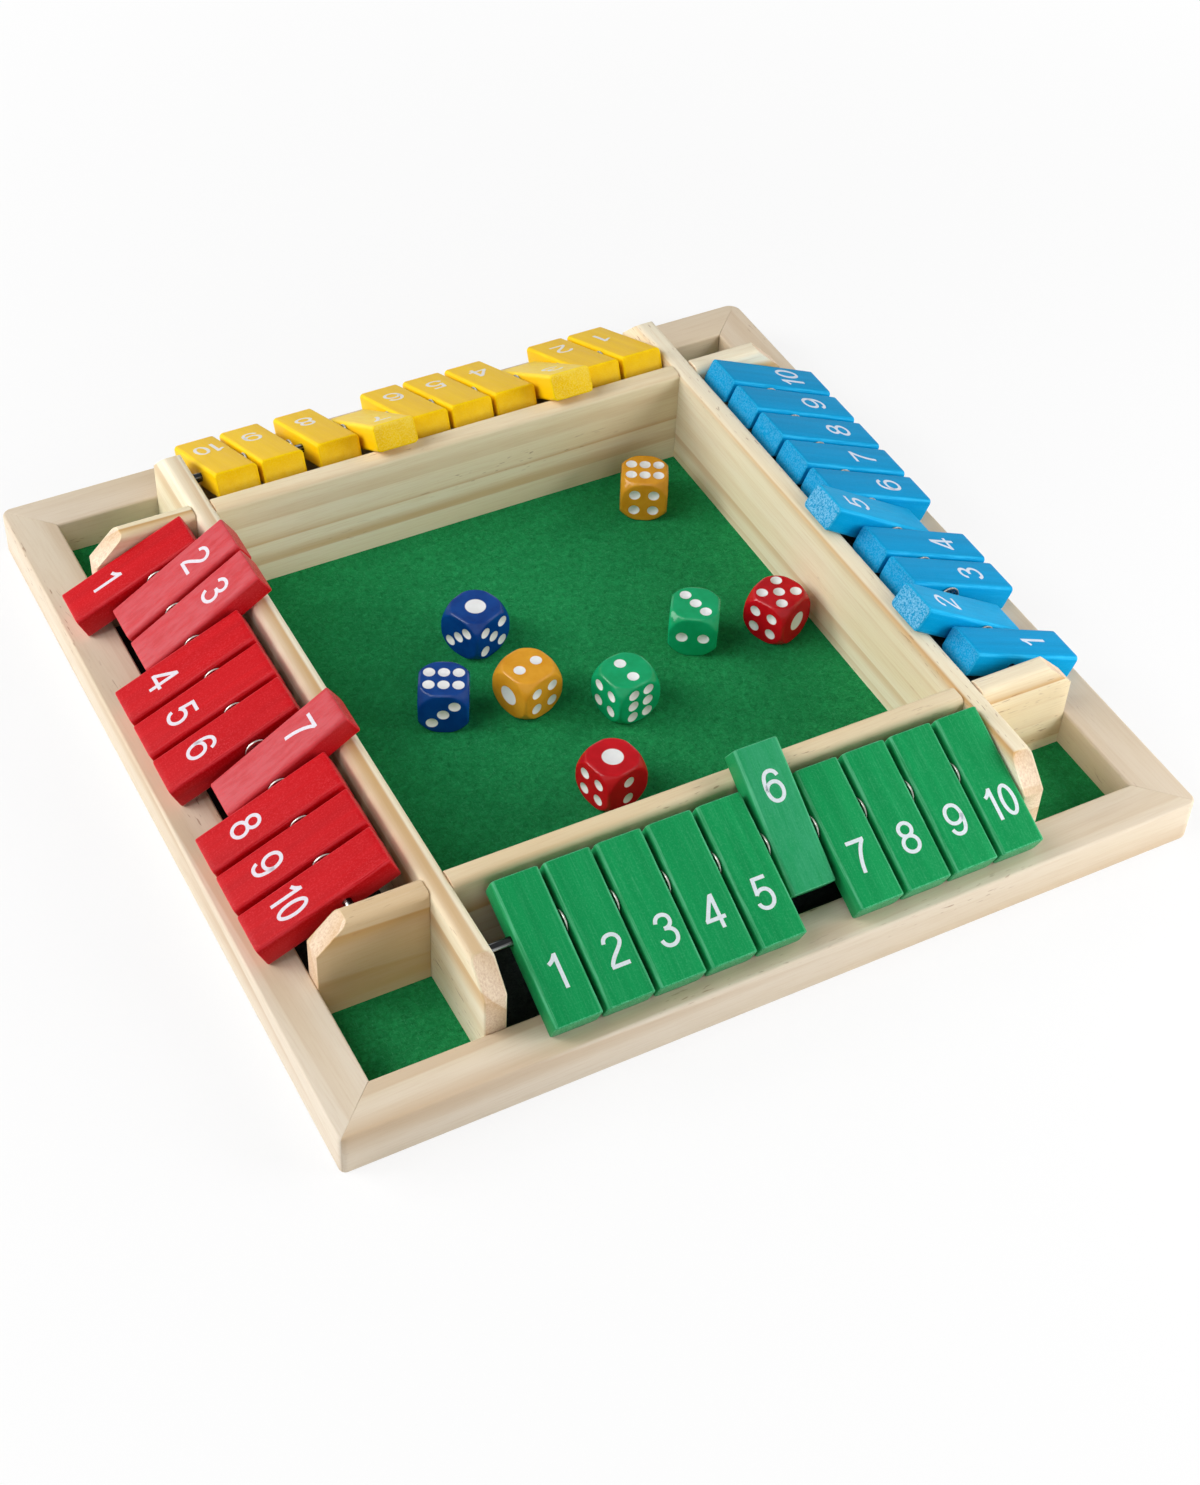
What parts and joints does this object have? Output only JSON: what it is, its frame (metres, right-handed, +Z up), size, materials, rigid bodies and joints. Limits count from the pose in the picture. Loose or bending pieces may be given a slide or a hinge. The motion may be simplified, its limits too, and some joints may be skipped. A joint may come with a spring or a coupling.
{
  "type": "shut the box game",
  "caption": "Square wooden game tray with a felt dice floor, corner pockets and a row of hinged number tiles on a steel rod along each side.",
  "frame": {"origin": "middle of the tray's underside, on the table", "axes": "+Z up from the table; the green row is towards -Y, blue +X, yellow +Y and red -X"},
  "size_m": [0.28, 0.28, 0.0492],
  "materials": {
    "pale_wood": "sanded bare softwood",
    "green_felt": "pressed felt",
    "black_lining": "black flock paper",
    "steel": "bright drawn",
    "green_paint": "thin satin paint over wood",
    "blue_paint": "thin satin paint over wood",
    "yellow_paint": "thin satin paint over wood",
    "red_paint": "thin satin paint over wood",
    "red_die": "polished",
    "blue_die": "polished",
    "green_die": "polished",
    "amber_die": "polished"
  },
  "bodies": {
    "tray": {"base_board": "pale_wood", "frame_rail_front": "pale_wood", "frame_rail_right": "pale_wood", "frame_rail_back": "pale_wood", "frame_rail_left": "pale_wood", "long_dividers": "pale_wood", "cross_dividers": "pale_wood", "bay_end_walls": "pale_wood", "green_felt": "green_felt", "bay_linings": "black_lining", "pivot_rods": "steel", "spacer_washers": "steel"},
    "green_tile_1": {"green_tile_1": "green_paint"},
    "green_tile_2": {"green_tile_2": "green_paint"},
    "green_tile_3": {"green_tile_3": "green_paint"},
    "green_tile_4": {"green_tile_4": "green_paint"},
    "green_tile_5": {"green_tile_5": "green_paint"},
    "green_tile_6": {"green_tile_6": "green_paint"},
    "green_tile_7": {"green_tile_7": "green_paint"},
    "green_tile_8": {"green_tile_8": "green_paint"},
    "green_tile_9": {"green_tile_9": "green_paint"},
    "green_tile_10": {"green_tile_10": "green_paint"},
    "blue_tile_1": {"blue_tile_1": "blue_paint"},
    "blue_tile_2": {"blue_tile_2": "blue_paint"},
    "blue_tile_3": {"blue_tile_3": "blue_paint"},
    "blue_tile_4": {"blue_tile_4": "blue_paint"},
    "blue_tile_5": {"blue_tile_5": "blue_paint"},
    "blue_tile_6": {"blue_tile_6": "blue_paint"},
    "blue_tile_7": {"blue_tile_7": "blue_paint"},
    "blue_tile_8": {"blue_tile_8": "blue_paint"},
    "blue_tile_9": {"blue_tile_9": "blue_paint"},
    "blue_tile_10": {"blue_tile_10": "blue_paint"},
    "yellow_tile_1": {"yellow_tile_1": "yellow_paint"},
    "yellow_tile_2": {"yellow_tile_2": "yellow_paint"},
    "yellow_tile_3": {"yellow_tile_3": "yellow_paint"},
    "yellow_tile_4": {"yellow_tile_4": "yellow_paint"},
    "yellow_tile_5": {"yellow_tile_5": "yellow_paint"},
    "yellow_tile_6": {"yellow_tile_6": "yellow_paint"},
    "yellow_tile_7": {"yellow_tile_7": "yellow_paint"},
    "yellow_tile_8": {"yellow_tile_8": "yellow_paint"},
    "yellow_tile_9": {"yellow_tile_9": "yellow_paint"},
    "yellow_tile_10": {"yellow_tile_10": "yellow_paint"},
    "red_tile_1": {"red_tile_1": "red_paint"},
    "red_tile_2": {"red_tile_2": "red_paint"},
    "red_tile_3": {"red_tile_3": "red_paint"},
    "red_tile_4": {"red_tile_4": "red_paint"},
    "red_tile_5": {"red_tile_5": "red_paint"},
    "red_tile_6": {"red_tile_6": "red_paint"},
    "red_tile_7": {"red_tile_7": "red_paint"},
    "red_tile_8": {"red_tile_8": "red_paint"},
    "red_tile_9": {"red_tile_9": "red_paint"},
    "red_tile_10": {"red_tile_10": "red_paint"},
    "die_red_1": {"die_red_1": "red_die"},
    "die_red_2": {"die_red_2": "red_die"},
    "die_blue_1": {"die_blue_1": "blue_die"},
    "die_blue_2": {"die_blue_2": "blue_die"},
    "die_green_1": {"die_green_1": "green_die"},
    "die_green_2": {"die_green_2": "green_die"},
    "die_amber_1": {"die_amber_1": "amber_die"},
    "die_amber_2": {"die_amber_2": "amber_die"}
  },
  "joints": [
    {"name": "green_tile_1_hinge", "type": "hinge", "parent": "tray", "child": "green_tile_1", "pos_m": [-0.06842, -0.1101, 0.0306], "axis": [-1, 0, 0], "range_deg": [0, 171.62]},
    {"name": "green_tile_2_hinge", "type": "hinge", "parent": "tray", "child": "green_tile_2", "pos_m": [-0.05234, -0.1101, 0.0306], "axis": [-1, 0, 0], "range_deg": [0, 171.62]},
    {"name": "green_tile_3_hinge", "type": "hinge", "parent": "tray", "child": "green_tile_3", "pos_m": [-0.03626, -0.1101, 0.0306], "axis": [-1, 0, 0], "range_deg": [0, 171.62]},
    {"name": "green_tile_4_hinge", "type": "hinge", "parent": "tray", "child": "green_tile_4", "pos_m": [-0.02018, -0.1101, 0.0306], "axis": [-1, 0, 0], "range_deg": [0, 171.62]},
    {"name": "green_tile_5_hinge", "type": "hinge", "parent": "tray", "child": "green_tile_5", "pos_m": [-0.0041, -0.1101, 0.0306], "axis": [-1, 0, 0], "range_deg": [0, 171.62]},
    {"name": "green_tile_6_hinge", "type": "hinge", "parent": "tray", "child": "green_tile_6", "pos_m": [0.01198, -0.1101, 0.0306], "axis": [-1, 0, 0], "range_deg": [-171.62, 0]},
    {"name": "green_tile_7_hinge", "type": "hinge", "parent": "tray", "child": "green_tile_7", "pos_m": [0.02806, -0.1101, 0.0306], "axis": [-1, 0, 0], "range_deg": [0, 171.62]},
    {"name": "green_tile_8_hinge", "type": "hinge", "parent": "tray", "child": "green_tile_8", "pos_m": [0.04414, -0.1101, 0.0306], "axis": [-1, 0, 0], "range_deg": [0, 171.62]},
    {"name": "green_tile_9_hinge", "type": "hinge", "parent": "tray", "child": "green_tile_9", "pos_m": [0.06022, -0.1101, 0.0306], "axis": [-1, 0, 0], "range_deg": [0, 171.62]},
    {"name": "green_tile_10_hinge", "type": "hinge", "parent": "tray", "child": "green_tile_10", "pos_m": [0.0763, -0.1101, 0.0306], "axis": [-1, 0, 0], "range_deg": [0, 171.62]},
    {"name": "blue_tile_1_hinge", "type": "hinge", "parent": "tray", "child": "blue_tile_1", "pos_m": [0.1101, -0.072, 0.0306], "axis": [0, -1, 0], "range_deg": [0, 171.62]},
    {"name": "blue_tile_2_hinge", "type": "hinge", "parent": "tray", "child": "blue_tile_2", "pos_m": [0.1101, -0.05592, 0.0306], "axis": [0, -1, 0], "range_deg": [-171.62, 0]},
    {"name": "blue_tile_3_hinge", "type": "hinge", "parent": "tray", "child": "blue_tile_3", "pos_m": [0.1101, -0.03626, 0.0306], "axis": [0, -1, 0], "range_deg": [0, 171.62]},
    {"name": "blue_tile_4_hinge", "type": "hinge", "parent": "tray", "child": "blue_tile_4", "pos_m": [0.1101, -0.02018, 0.0306], "axis": [0, -1, 0], "range_deg": [0, 171.62]},
    {"name": "blue_tile_5_hinge", "type": "hinge", "parent": "tray", "child": "blue_tile_5", "pos_m": [0.1101, -0.0041, 0.0306], "axis": [0, -1, 0], "range_deg": [-171.62, 0]},
    {"name": "blue_tile_6_hinge", "type": "hinge", "parent": "tray", "child": "blue_tile_6", "pos_m": [0.1101, 0.01198, 0.0306], "axis": [0, -1, 0], "range_deg": [0, 171.62]},
    {"name": "blue_tile_7_hinge", "type": "hinge", "parent": "tray", "child": "blue_tile_7", "pos_m": [0.1101, 0.02806, 0.0306], "axis": [0, -1, 0], "range_deg": [0, 171.62]},
    {"name": "blue_tile_8_hinge", "type": "hinge", "parent": "tray", "child": "blue_tile_8", "pos_m": [0.1101, 0.04414, 0.0306], "axis": [0, -1, 0], "range_deg": [0, 171.62]},
    {"name": "blue_tile_9_hinge", "type": "hinge", "parent": "tray", "child": "blue_tile_9", "pos_m": [0.1101, 0.06022, 0.0306], "axis": [0, -1, 0], "range_deg": [0, 171.62]},
    {"name": "blue_tile_10_hinge", "type": "hinge", "parent": "tray", "child": "blue_tile_10", "pos_m": [0.1101, 0.0763, 0.0306], "axis": [0, -1, 0], "range_deg": [0, 171.62]},
    {"name": "yellow_tile_1_hinge", "type": "hinge", "parent": "tray", "child": "yellow_tile_1", "pos_m": [0.0757, 0.1101, 0.0306], "axis": [1, 0, 0], "range_deg": [0, 171.62]},
    {"name": "yellow_tile_2_hinge", "type": "hinge", "parent": "tray", "child": "yellow_tile_2", "pos_m": [0.05962, 0.1101, 0.0306], "axis": [1, 0, 0], "range_deg": [0, 171.62]},
    {"name": "yellow_tile_3_hinge", "type": "hinge", "parent": "tray", "child": "yellow_tile_3", "pos_m": [0.04354, 0.1101, 0.0306], "axis": [1, 0, 0], "range_deg": [-171.62, 0]},
    {"name": "yellow_tile_4_hinge", "type": "hinge", "parent": "tray", "child": "yellow_tile_4", "pos_m": [0.02746, 0.1101, 0.0306], "axis": [1, 0, 0], "range_deg": [0, 171.62]},
    {"name": "yellow_tile_5_hinge", "type": "hinge", "parent": "tray", "child": "yellow_tile_5", "pos_m": [0.01138, 0.1101, 0.0306], "axis": [1, 0, 0], "range_deg": [0, 171.62]},
    {"name": "yellow_tile_6_hinge", "type": "hinge", "parent": "tray", "child": "yellow_tile_6", "pos_m": [-0.0047, 0.1101, 0.0306], "axis": [1, 0, 0], "range_deg": [0, 171.62]},
    {"name": "yellow_tile_7_hinge", "type": "hinge", "parent": "tray", "child": "yellow_tile_7", "pos_m": [-0.02078, 0.1101, 0.0306], "axis": [1, 0, 0], "range_deg": [-171.62, 0]},
    {"name": "yellow_tile_8_hinge", "type": "hinge", "parent": "tray", "child": "yellow_tile_8", "pos_m": [-0.03686, 0.1101, 0.0306], "axis": [1, 0, 0], "range_deg": [0, 171.62]},
    {"name": "yellow_tile_9_hinge", "type": "hinge", "parent": "tray", "child": "yellow_tile_9", "pos_m": [-0.05632, 0.1101, 0.0306], "axis": [1, 0, 0], "range_deg": [0, 171.62]},
    {"name": "yellow_tile_10_hinge", "type": "hinge", "parent": "tray", "child": "yellow_tile_10", "pos_m": [-0.0724, 0.1101, 0.0306], "axis": [1, 0, 0], "range_deg": [0, 171.62]},
    {"name": "red_tile_1_hinge", "type": "hinge", "parent": "tray", "child": "red_tile_1", "pos_m": [-0.1101, 0.0752, 0.0306], "axis": [0, 1, 0], "range_deg": [0, 171.62]},
    {"name": "red_tile_2_hinge", "type": "hinge", "parent": "tray", "child": "red_tile_2", "pos_m": [-0.1101, 0.05912, 0.0306], "axis": [0, 1, 0], "range_deg": [-171.62, 0]},
    {"name": "red_tile_3_hinge", "type": "hinge", "parent": "tray", "child": "red_tile_3", "pos_m": [-0.1101, 0.04304, 0.0306], "axis": [0, 1, 0], "range_deg": [-171.62, 0]},
    {"name": "red_tile_4_hinge", "type": "hinge", "parent": "tray", "child": "red_tile_4", "pos_m": [-0.1101, 0.02696, 0.0306], "axis": [0, 1, 0], "range_deg": [0, 171.62]},
    {"name": "red_tile_5_hinge", "type": "hinge", "parent": "tray", "child": "red_tile_5", "pos_m": [-0.1101, 0.01088, 0.0306], "axis": [0, 1, 0], "range_deg": [0, 171.62]},
    {"name": "red_tile_6_hinge", "type": "hinge", "parent": "tray", "child": "red_tile_6", "pos_m": [-0.1101, -0.0052, 0.0306], "axis": [0, 1, 0], "range_deg": [0, 171.62]},
    {"name": "red_tile_7_hinge", "type": "hinge", "parent": "tray", "child": "red_tile_7", "pos_m": [-0.1101, -0.02128, 0.0306], "axis": [0, 1, 0], "range_deg": [-171.62, 0]},
    {"name": "red_tile_8_hinge", "type": "hinge", "parent": "tray", "child": "red_tile_8", "pos_m": [-0.1101, -0.03736, 0.0306], "axis": [0, 1, 0], "range_deg": [0, 171.62]},
    {"name": "red_tile_9_hinge", "type": "hinge", "parent": "tray", "child": "red_tile_9", "pos_m": [-0.1101, -0.05344, 0.0306], "axis": [0, 1, 0], "range_deg": [0, 171.62]},
    {"name": "red_tile_10_hinge", "type": "hinge", "parent": "tray", "child": "red_tile_10", "pos_m": [-0.1101, -0.06952, 0.0306], "axis": [0, 1, 0], "range_deg": [0, 171.62]},
    {"name": "die_red_1_lift", "type": "slide", "parent": "tray", "child": "die_red_1", "axis": [0, 0, 1], "range_m": [0, 0.06]},
    {"name": "die_red_2_lift", "type": "slide", "parent": "tray", "child": "die_red_2", "axis": [0, 0, 1], "range_m": [0, 0.06]},
    {"name": "die_blue_1_lift", "type": "slide", "parent": "tray", "child": "die_blue_1", "axis": [0, 0, 1], "range_m": [0, 0.06]},
    {"name": "die_blue_2_lift", "type": "slide", "parent": "tray", "child": "die_blue_2", "axis": [0, 0, 1], "range_m": [0, 0.06]},
    {"name": "die_green_1_lift", "type": "slide", "parent": "tray", "child": "die_green_1", "axis": [0, 0, 1], "range_m": [0, 0.06]},
    {"name": "die_green_2_lift", "type": "slide", "parent": "tray", "child": "die_green_2", "axis": [0, 0, 1], "range_m": [0, 0.06]},
    {"name": "die_amber_1_lift", "type": "slide", "parent": "tray", "child": "die_amber_1", "axis": [0, 0, 1], "range_m": [0, 0.06]},
    {"name": "die_amber_2_lift", "type": "slide", "parent": "tray", "child": "die_amber_2", "axis": [0, 0, 1], "range_m": [0, 0.06]}
  ]
}
